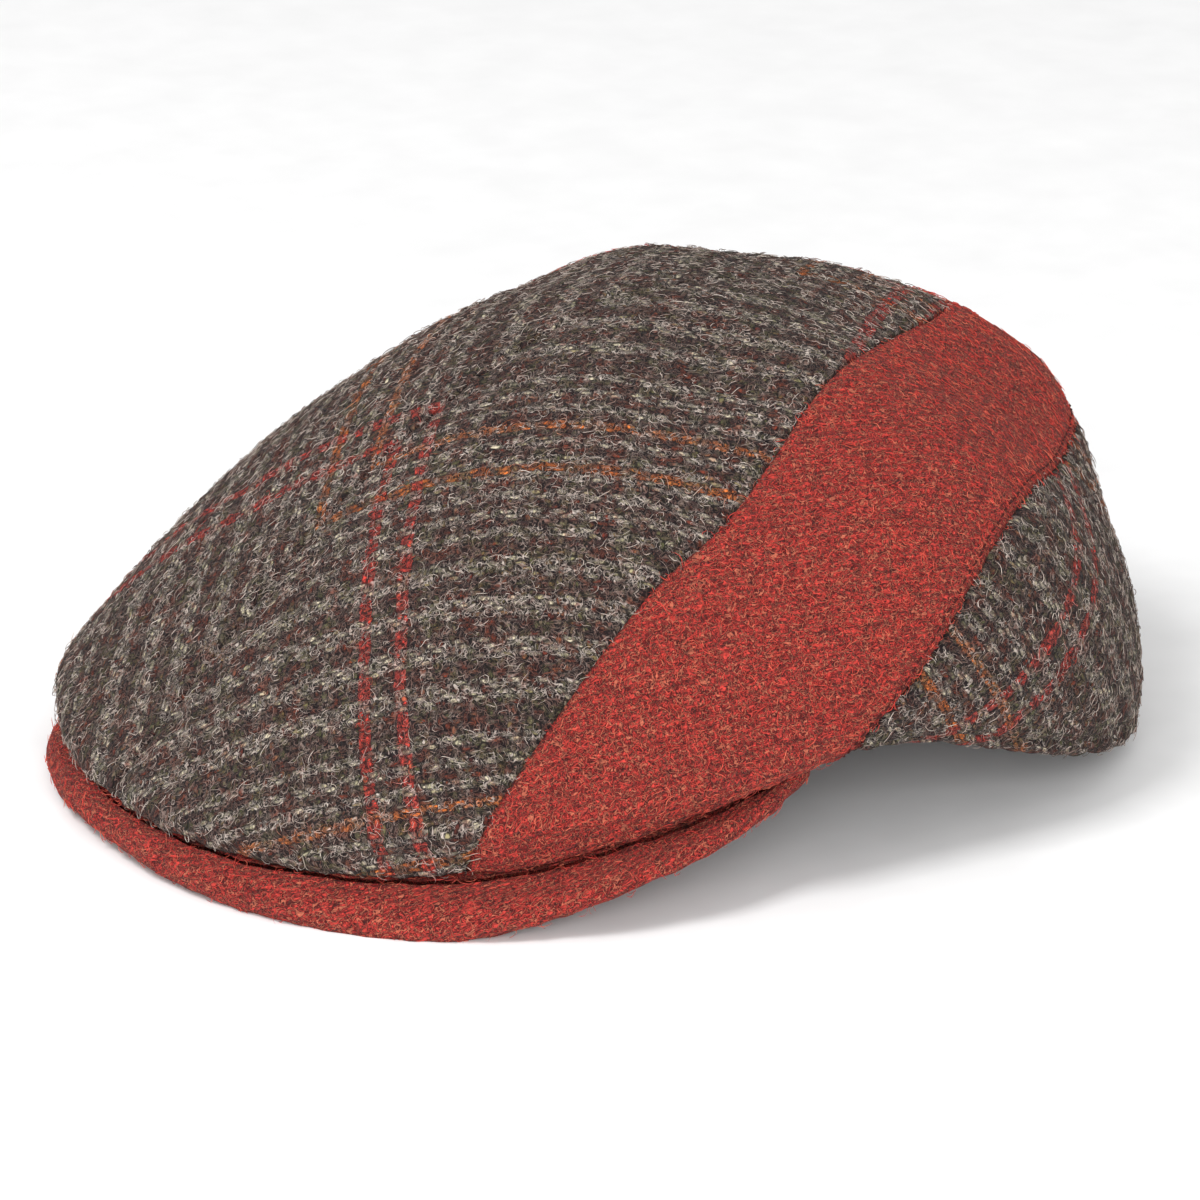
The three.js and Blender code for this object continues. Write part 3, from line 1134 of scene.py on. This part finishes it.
class Shade:
    """A material under construction, whose nodes all come from one method."""

    def __init__(self, name: str) -> None:
        """Starts an empty material."""
        self.material = bpy.data.materials.new(name)
        self.material.use_nodes = True
        self.tree = self.material.node_tree
        self.tree.nodes.clear()

    def node(self, kind: str, settings: dict[str, Any] | None = None,
             inputs: dict[str | int, Any] | None = None, output: str | int = 0) -> Value:
        """Adds a node.

        Args:
            kind: The node's type.
            settings: Its properties, which are set before its sockets.
            inputs: Numbers, colours or links for its sockets, by name or place.
            output: Which of its outputs is returned.

        Returns:
            The chosen output.
        """
        made = self.tree.nodes.new(kind)
        for key, value in (settings or {}).items():
            setattr(made, key, value)
        for key, value in (inputs or {}).items():
            if isinstance(value, Value):
                self.tree.links.new(value.socket, made.inputs[key])
            else:
                made.inputs[key].default_value = value
        return Value(self, made.outputs[output] if made.outputs else None)

    def mix(self, first: Any, second: Any, factor: Any) -> Value:
        """A colour between two colours."""
        inputs = {0: factor, 6: first, 7: second}
        return self.node("ShaderNodeMix", {"data_type": "RGBA"}, inputs, 2)

    def vector(self, operation: str, *values: Any) -> Value:
        """One Vector Math node."""
        return self.node("ShaderNodeVectorMath", {"operation": operation}, dict(enumerate(values)))

    def noise(self, place: Value, size: float, detail: float = 1, output: str = "Fac",
              distortion: float = 0) -> Value:
        """Noise whose features are about size long, in the units of place."""
        inputs = {"Vector": place, "Scale": 1 / size, "Detail": detail, "Distortion": distortion}
        return self.node("ShaderNodeTexNoise", {}, inputs, output)

    def strands(self, place: Value, size: float, width: float, shift: float,
                squeeze: tuple[float, float, float] = (1, 1, 1)) -> tuple[Value, Value]:
        """Thin curled strands, drawn where a bent noise is near its middle value, and a band of painted
        shade round them.

        Args:
            place: The cloth coordinates.
            size: The noise's size in millimetres.
            width: How far from its middle the noise still makes a strand.
            shift: Moves the pattern, so that two layers differ.
            squeeze: Scales the place, so that the strands run along the squeezed axis.

        Returns:
            1 on the strands, and 1 in the band of painted shade round them.
        """
        moved = self.vector("MULTIPLY_ADD", place, squeeze, (shift, 2.3 * shift, 0.7 * shift))
        near = abs(self.noise(moved, size, 1.2, "Fac", 0.9) - 0.5)
        return near.step(width, 0.35 * width), near.step(2.6 * width, 1.1 * width)

    def chance(self, first: Value, second: Value | float) -> Value:
        """A number from 0 to 1 for each pair of whole numbers."""
        pair = self.node("ShaderNodeCombineXYZ", {}, {0: first, 1: second})
        return self.node("ShaderNodeTexWhiteNoise", {"noise_dimensions": "3D"}, {"Vector": pair}, "Value")

    def cloth_place(self) -> Value:
        """The cloth coordinates in millimetres."""
        place = self.node("ShaderNodeUVMap", {"uv_map": UV_NAME})
        return self.vector("MULTIPLY", place, (1 / MM, 1 / MM, 1))

    def tone(self) -> Value:
        """0 on the cloth, and each loose fibre's own number."""
        return self.node("ShaderNodeAttribute", {"attribute_name": TONE_NAME}, {}, "Fac")

    def finish(self, colour: Value, height: Value, roughness: float, sheen: float) -> bpy.types.Material:
        """Closes the material with a matte cloth surface.

        Args:
            colour: The base colour.
            height: The relief in millimetres, for the bump.
            roughness: The surface's roughness.
            sheen: The weight of the sheen.

        Returns:
            The material.
        """
        bump = self.node("ShaderNodeBump", {}, {"Strength": 1.0, "Distance": MM, "Height": height})
        inputs = {"Base Color": colour, "Normal": bump, "Roughness": roughness,
                  "Specular IOR Level": GLOSS, "Sheen Weight": sheen, "Sheen Roughness": SHEEN_ROUGHNESS}
        surface = self.node("ShaderNodeBsdfPrincipled", {}, inputs)
        self.node("ShaderNodeOutputMaterial", {}, {"Surface": surface})
        return self.material


def colour(red: float, green: float, blue: float) -> tuple[float, float, float, float]:
    """A display colour as a linear one.

    Args:
        red: 0 to 255.
        green: 0 to 255.
        blue: 0 to 255.

    Returns:
        The linear colour with an opaque fourth channel.
    """
    parts = [c / 255 for c in (red, green, blue)]
    linear = [c / 12.92 if c <= 0.04045 else ((c + 0.055) / 1.055) ** 2.4 for c in parts]
    return (*linear, 1.0)


class Woven(NamedTuple):
    """What a weave gives at each place: its two sets of yarns, their floats, and the surface they make."""

    row: Value
    row_float: Value
    column: Value
    column_float: Value
    column_up: Value
    height: Value


@dataclass(frozen=True)
class Weave:
    """A weave whose yarns pass over as many others as they pass under, with its sizes in millimetres.

    The rows' floats are cut shorter by the columns as the hidden height grows.
    """

    row_pitch: float
    column_pitch: float
    over: int
    wander: float
    fray: float
    hidden: float = 0

    def build(self, shade: Shade, place: Value) -> Woven:
        """Yarn numbers and heights.

        A yarn's height is a round profile across it plus a cosine along it, two floats long, that is
        shifted by one yarn at each neighbour. Each crest of the cosine is one float, with its own number.

        Args:
            shade: The material.
            place: The cloth coordinates in millimetres.

        Returns:
            The yarns and floats at each place, 1 where the column is on top, and the height.
        """
        wide = shade.vector("SUBTRACT", shade.noise(place, 9, 1, "Color"), (0.5, 0.5, 0.5))
        fine = shade.vector("SUBTRACT", shade.noise(place, 1.1, 1, "Color"), (0.5, 0.5, 0.5))
        place = shade.vector("ADD", place, shade.vector("MULTIPLY", wide, (self.wander,) * 3))
        place = shade.vector("ADD", place, shade.vector("MULTIPLY", fine, (self.fray,) * 3))
        place = shade.vector("MULTIPLY", place, (1 / self.row_pitch, 1 / self.column_pitch, 0))
        x = shade.node("ShaderNodeSeparateXYZ", {}, {0: place}, "X")
        y = shade.node("ShaderNodeSeparateXYZ", {}, {0: place}, "Y")
        i, j = x.floor(), y.floor()
        across_row, across_column = (x - i - 0.5) * 2, (y - j - 0.5) * 2
        over, half = self.over, self.over / 2
        row = ((y - i - half) * (math.pi / over)).cos() + (1 - across_row * across_row)
        column = ((x - j - half - 1) * (math.pi / over)).cos() + (1 - across_column * across_column)
        row_float = ((y - i + half) / (2 * over)).floor()
        column_float = ((x - j + half - 1) / (2 * over)).floor()
        column_up = (column - row + self.hidden).step(-0.15, 0.15)
        return Woven(i, row_float, j, column_float, column_up, column.highest(row))


@dataclass(frozen=True)
class YarnPlan:
    """The colours of one set of yarns over a repeat, which is counted from the overcheck's middle."""

    pitch: float
    repeat: int
    middle: float
    overcheck: float
    line: tuple
    light: tuple
    dark: tuple
    tint: tuple
    rust: tuple
    block: int = 36

    def place(self, number: Value) -> Value:
        """A yarn's number within the repeat."""
        return (number - round(self.middle / self.pitch)) % self.repeat

    def stripe(self, number: Value) -> Value:
        """1 on pale yarns and 0 on dark ones.

        The middle of the repeat is a block of four-and-four stripes with a dark one at its centre, and
        the rest is striped two and two.

        Args:
            number: The yarn's number.

        Returns:
            The stripe at each yarn.
        """
        place = self.place(number)
        start = (self.repeat - self.block) // 2
        block = (place > start - 0.5) * (place < start + self.block - 0.5)
        return ((place - start) % 8 > 3.5) * block + (place % 4 > 1.5) * (1 - block)

    def on_line(self, number: Value) -> Value:
        """1 on the two pairs of coloured yarns of the overcheck."""
        centred = abs((self.place(number) + self.repeat / 2) % self.repeat - self.repeat / 2 + 0.5)
        return abs(centred - self.overcheck) < 0.6

    def dye(self, shade: Shade, number: Value, float_number: Value) -> Value:
        """The colour of each float, which varies from yarn to yarn and along it.

        Args:
            shade: The material.
            number: The yarn's number.
            float_number: The float's number on its yarn.

        Returns:
            The colour.
        """
        yarn = shade.chance(number, 0.5)
        one = shade.chance(number, float_number)
        other = shade.chance(float_number, number + 0.5)
        pale = shade.mix(self.light, self.tint, (yarn * 0.5 + other * 0.6).step(0.5, 0.9) * 0.85)
        deep = shade.mix(self.dark, self.rust, (yarn * 0.4 + other * 0.7).step(0.6, 1.0) * 0.85)
        share = self.stripe(number) * (0.85 - one.step(0.5, 1.0) * 0.7) + one.step(0.3, 0.0) * 0.25
        return shade.mix(shade.mix(deep, pale, share), self.line, self.on_line(number) * one.step(1.1, 0.4))


@dataclass(frozen=True)
class StrandLayer:
    """A layer of fine fibres drawn on a cloth, with painted shade beside each."""

    size: float
    width: float
    shift: float
    strength: float
    squeeze: tuple[float, float, float] = (1, 1, 1)
    rise: float = 0.2
    sink: float = 0.1

    def cover(self, shade: Shade, place: Value, cloth: Value, relief: Value, dye: Any, dark: Any,
              strand_shade_share: float, clear_of_shade_and_mottle: Any = 1) -> tuple[Value, Value]:
        """Draws the layer over a cloth.

        Args:
            shade: The material.
            place: The cloth coordinates.
            cloth: The colour under the layer.
            relief: The relief under the layer.
            dye: The fibres' colour.
            dark: The colour of the painted shade beside the fibres.
            strand_shade_share: How strongly the painted shade takes that colour.
            clear_of_shade_and_mottle: 1 where the fibres are at full strength, less under painted shade or
                dark mottles.

        Returns:
            The colour and the relief with the layer.
        """
        strand, gap = shade.strands(place, self.size, self.width, self.shift, self.squeeze)
        # Painted shade: a band round each fibre is darkened to give it depth.
        cloth = shade.mix(cloth, dark, gap * strand_shade_share)
        cloth = shade.mix(cloth, dye, strand * clear_of_shade_and_mottle * self.strength)
        return cloth, relief + strand * self.rise - gap * self.sink


@dataclass(frozen=True)
class TweedFinish:
    """The plaid tweed under its dense curls: dark and pale yarns, with orange rows and red columns."""

    hair: tuple = colour(224, 210, 199)
    brown: tuple = colour(96, 58, 48)
    shadow: tuple = colour(17, 11, 13)
    rust: tuple = colour(136, 62, 38)
    moss: tuple = colour(104, 106, 68)
    rows: YarnPlan = YarnPlan(
        pitch=1.285, repeat=76, middle=-60, overcheck=5, line=colour(208, 114, 54),
        light=colour(206, 194, 168), dark=colour(58, 41, 40), tint=colour(138, 128, 88),
        rust=colour(118, 54, 38))
    columns: YarnPlan = YarnPlan(
        pitch=1.56, repeat=64, middle=78.7, overcheck=3, line=colour(202, 64, 54),
        light=colour(104, 88, 76), dark=colour(42, 29, 30), tint=colour(98, 82, 54),
        rust=colour(112, 48, 36))
    row_paleness: float = 0.56
    column_paleness: float = 0.15
    least_paleness: float = 0.15
    strand_shade_share: float = 0.7
    layers: tuple[StrandLayer, ...] = (StrandLayer(1.3, 0.05, 23.1, 0.4), StrandLayer(1.9, 0.036, 3.7, 0.75))

    def build(self) -> bpy.types.Material:
        """Makes the material: dyed yarns, blotches of other dyes, painted shade between the yarns, then the
        curls.

        Returns:
            The material.
        """
        shade = Shade("plaid_tweed")
        place = shade.cloth_place()
        tone = shade.tone()
        weave = Weave(self.rows.pitch, self.columns.pitch, over=2, wander=1.3, fray=0.75, hidden=0.25)
        woven = weave.build(shade, place)
        row = self.rows.dye(shade, woven.row, woven.row_float)
        column = self.columns.dye(shade, woven.column, woven.column_float)
        cloth = shade.mix(row, column, woven.column_up)
        blotch = shade.noise(place, 2.2, 2)
        other = shade.noise(shade.vector("ADD", place, (31, 17, 5)), 3.1, 2)
        cloth = shade.mix(cloth, self.rust, other.step(0.55, 0.68) * 0.5)
        cloth = shade.mix(cloth, self.moss, other.step(0.48, 0.36) * 0.5)
        pale_row, pale_column = self.rows.stripe(woven.row), self.columns.stripe(woven.column)
        paleness = pale_row * self.row_paleness + pale_column * self.column_paleness + self.least_paleness
        hair = shade.mix(self.brown, self.hair, paleness * blotch.step(0.3, 0.6))
        red = self.columns.on_line(woven.column) * (1 - pale_row * 0.75) * blotch.step(0.2, 0.5)
        orange = self.rows.on_line(woven.row) * (1 - pale_column * 0.65) * blotch.step(0.66, 0.48)
        hair = shade.mix(hair, self.rust, other.step(0.55, 0.66) * 0.5)
        hair = shade.mix(hair, self.moss, other.step(0.45, 0.36) * 0.4)
        cloth = shade.mix(shade.mix(cloth, self.rows.line, orange * 0.35), self.columns.line, red * 0.6)
        hair = shade.mix(shade.mix(hair, self.rows.line, orange * 0.75), self.columns.line, red * 0.8)
        # Painted shade: the weave's low parts, between the yarns, are darkened towards the shadow colour.
        cloth = shade.mix(cloth, self.shadow, (1.75 - woven.height).step(0.05, 0.55) * 0.88)
        relief = woven.height * 0.4 + blotch * 0.25
        for layer in self.layers:
            cloth, relief = layer.cover(shade, place, cloth, relief, hair, self.shadow, self.strand_shade_share)
        loose = shade.mix(hair, self.hair, tone.step(0.4, 1.0) * 0.7)
        cloth = shade.mix(cloth, loose, (tone > 0.01) * (tone.step(0.0, 0.8) * 0.6 + 0.3))
        return shade.finish(cloth, relief, CLOTH_ROUGHNESS, CLOTH_SHEEN)


@dataclass(frozen=True)
class RedWoolFinish:
    """The plain red wool, whose coarse yarns show through a dense nap."""

    base: tuple = colour(176, 43, 40)
    bright: tuple = colour(226, 74, 64)
    # Dark red for painted shade in the rows' troughs, between yarns and beside fibres, and for random
    # mottles.
    deep: tuple = colour(52, 13, 13)
    hair: tuple = colour(232, 128, 98)
    weave: Weave = Weave(row_pitch=1.1, column_pitch=1.3, over=2, wander=2.0, fray=1.5)
    ridge: float = 2.2
    strand_shade_share: float = 0.72
    lengthways: StrandLayer = StrandLayer(1.0, 0.07, 29.7, 0.75, (0.45, 1, 1))
    crossways: StrandLayer = StrandLayer(1.1, 0.06, 5.1, 0.75, (1, 0.45, 1))
    loose: StrandLayer = StrandLayer(1.7, 0.034, 17.3, 0.62)

    def build(self) -> bpy.types.Material:
        """Makes the material: soft rows with painted shade in their troughs, dark mottles, painted shade
        between yarns, then fibres, weaker in both.

        Returns:
            The material.
        """
        shade = Shade("red_wool")
        place = shade.cloth_place()
        tone = shade.tone()
        woven = self.weave.build(shade, place)
        one = shade.chance(woven.row, woven.row_float)
        blotch = shade.noise(place, 3.5, 3)
        bent = shade.vector("MULTIPLY_ADD", shade.noise(place, 1.8, 2, "Color"), (1.8, 1.8, 0), place)
        ridge = (shade.node("ShaderNodeSeparateXYZ", {}, {0: bent}, "X") * (2 * math.pi / self.ridge)).cos()
        cloth = shade.mix(self.base, self.bright, blotch.step(0.38, 0.66) * 0.4 + one * 0.4)
        # Painted shade in the troughs of the soft rows, plus darker random mottles of the cloth.
        trough_shade_and_mottle = ridge.step(0.3, -1.0) * 0.3 + blotch.step(0.5, 0.3) * 0.35
        # Painted shade: the weave's low parts, between the yarns, are darkened.
        cloth = shade.mix(cloth, self.deep, (1.75 - woven.height).step(0.05, 0.8) * 0.55)
        cloth = shade.mix(cloth, self.deep, trough_shade_and_mottle * 0.9)
        relief = woven.height * 0.35 + blotch * 0.25 + ridge * 0.25
        layers = ((self.lengthways, self.bright), (self.crossways, self.bright), (self.loose, self.hair))
        for layer, dye in layers:
            cloth, relief = layer.cover(shade, place, cloth, relief, dye, self.deep, self.strand_shade_share,
                                        1 - trough_shade_and_mottle)
        loose = shade.mix(self.bright, self.hair, tone.step(0.4, 1.0) * 0.8)
        cloth = shade.mix(cloth, loose, (tone > 0.01) * 0.75)
        return shade.finish(cloth, relief, CLOTH_ROUGHNESS, CLOTH_SHEEN)


@dataclass(frozen=True)
class PlainFinish:
    """A plain finish with a fine grain, for the sewing thread and the floor."""

    name: str
    shade_of: tuple
    grain: float
    depth: float

    def build(self) -> bpy.types.Material:
        """Makes the material, its grain on object coordinates.

        Returns:
            The material.
        """
        shade = Shade(self.name)
        place = shade.node("ShaderNodeTexCoord", {}, {}, "Object")
        grain = shade.noise(place, self.grain, 2)
        darker = tuple(c * 0.9 for c in self.shade_of[:3]) + (1.0,)
        return shade.finish(shade.mix(self.shade_of, darker, grain), grain * self.depth, 0.8, 0.0)


@dataclass(frozen=True)
class Studio:
    """The pale floor, the soft lights and the camera at the photograph's angle."""

    azimuth: float = 60.74
    elevation: float = 20.31
    distance: float = 1.8986
    target: tuple[float, float, float] = (0, 0, 0.055)
    scale: float = 4.26
    centre: tuple[float, float] = (597.5, 528.2)
    picture: int = 1200
    sensor: float = 36
    lamp_distance: float = 1.6
    sky: float = 0.74
    floor_size: float = 8
    view_depth: float = 20

    def away(self, azimuth: float, elevation: float) -> Vector:
        """The unit direction from the cap to a place seen at an azimuth and elevation."""
        a, e = math.radians(azimuth), math.radians(elevation)
        return Vector((math.sin(a) * math.cos(e), -math.cos(a) * math.cos(e), math.sin(e)))

    def camera(self) -> None:
        """Adds the camera, its lens worked out from the picture's scale at the cap."""
        data = bpy.data.cameras.new("camera")
        data.sensor_width = self.sensor
        data.lens = self.scale * self.distance / MM / self.picture * self.sensor
        data.shift_x = (self.picture / 2 - self.centre[0]) / self.picture
        data.shift_y = (self.centre[1] - self.picture / 2) / self.picture
        data.clip_end = self.view_depth
        camera = bpy.data.objects.new("camera", data)
        out = self.away(self.azimuth, self.elevation)
        camera.location = Vector(self.target) + out * self.distance
        camera.rotation_euler = out.to_track_quat("Z", "Y").to_euler()
        bpy.context.scene.collection.objects.link(camera)
        bpy.context.scene.camera = camera

    def light(self, name: str, azimuth: float, elevation: float, power: float, size: float) -> None:
        """Adds a square soft light that looks at the cap.

        Args:
            name: The light's name.
            azimuth: Degrees round the cap from its front towards its left.
            elevation: Degrees over the floor.
            power: Watts.
            size: The side of the square in metres.
        """
        data = bpy.data.lights.new(name, "AREA")
        data.energy = power
        data.size = size
        lamp = bpy.data.objects.new(name, data)
        out = self.away(azimuth, elevation)
        lamp.location = Vector(self.target) + out * self.lamp_distance
        lamp.rotation_euler = out.to_track_quat("Z", "Y").to_euler()
        bpy.context.scene.collection.objects.link(lamp)

    def build(self) -> None:
        """Adds the floor, the sky, the lights and the camera."""
        bpy.ops.mesh.primitive_plane_add(size=self.floor_size, location=(0, 0, 0))
        floor = bpy.context.object
        floor.name = "floor"
        floor.data.materials.append(PlainFinish("floor_paint", colour(250, 250, 250), 0.02, 0.02).build())
        world = bpy.data.worlds.new("studio")
        world.use_nodes = True
        world.node_tree.nodes["Background"].inputs["Color"].default_value = (1, 1, 1, 1)
        world.node_tree.nodes["Background"].inputs["Strength"].default_value = self.sky
        bpy.context.scene.world = world
        bpy.context.scene.view_settings.view_transform = "Standard"
        self.light("key", azimuth=15, elevation=55, power=12.8, size=0.5)
        self.light("fill", azimuth=64, elevation=13, power=25, size=1.2)
        self.camera()


def dress(piece: bpy.types.Object, material: bpy.types.Material, cloth: Cloth, node: str | None) -> None:
    """Gives a piece its material, hangs it on the root body, and hides the solid that it replaces.

    Args:
        piece: The piece.
        material: Its finish.
        cloth: Not used.
        node: The solid that it replaces, or None for a piece that is only added.
    """
    piece.data.materials.append(material)
    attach(piece, "root")
    if node:
        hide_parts(node)
    LOG.info("%s: %d triangles", piece.name, len(piece.data.polygons))


def main() -> None:
    """Builds the cap's pieces in order, then the studio."""
    logging.basicConfig(level=logging.INFO, format="%(name)s: %(message)s")
    shape = CrownShape()
    finishes = {Cloth.TWEED: TweedFinish().build(), Cloth.RED: RedWoolFinish().build()}
    thread = PlainFinish("sewing_thread", colour(66, 24, 22), 0.0008, 0.05).build()
    seam, centre, rim, hem = Border.SEAM, Border.CENTRE, Border.RIM, Border.HEM
    for word, side in (("left", 1), ("right", -1)):
        panels = (
            TopPanel("top_panel_" + word, side, Cloth.TWEED, shape, rows=265, columns=85,
                     borders=(centre, seam, rim, seam), grain=45, fibres=6200),
            SideBand("side_band_" + word, side, Cloth.RED, shape, rows=241, columns=61,
                     borders=(seam, seam, rim, centre), grain=45, fibres=4200),
            RearPanel("rear_panel_" + word, side, Cloth.TWEED, shape, rows=175, columns=85,
                      borders=(hem, seam, seam, centre), grain=131, fibres=3200, origin=(-27.8, -9.1)),
        )
        for index, panel in enumerate(panels):
            surface = panel.surface()
            dress(panel.build(surface), finishes[panel.cloth], panel.cloth, panel.node)
            nap = Nap(panel.node, panel.fibres, 100 * (side + 2) + index, NAP_LIFT[panel.cloth])
            dress(nap.build(surface), finishes[panel.cloth], panel.cloth, None)
            if panel.cloth is Cloth.RED:
                dress(Topstitch(panel.node).build(surface), thread, panel.cloth, None)
    peak = Peak("peak", shape)
    surface = peak.surface()
    dress(peak.build(surface), finishes[Cloth.RED], Cloth.RED, peak.node)
    nap = Nap(peak.node, count=3000, seed=7, lift=NAP_LIFT[Cloth.RED])
    dress(nap.build(surface), finishes[Cloth.RED], Cloth.RED, None)
    Studio().build()


if __name__ == "__main__":
    main()
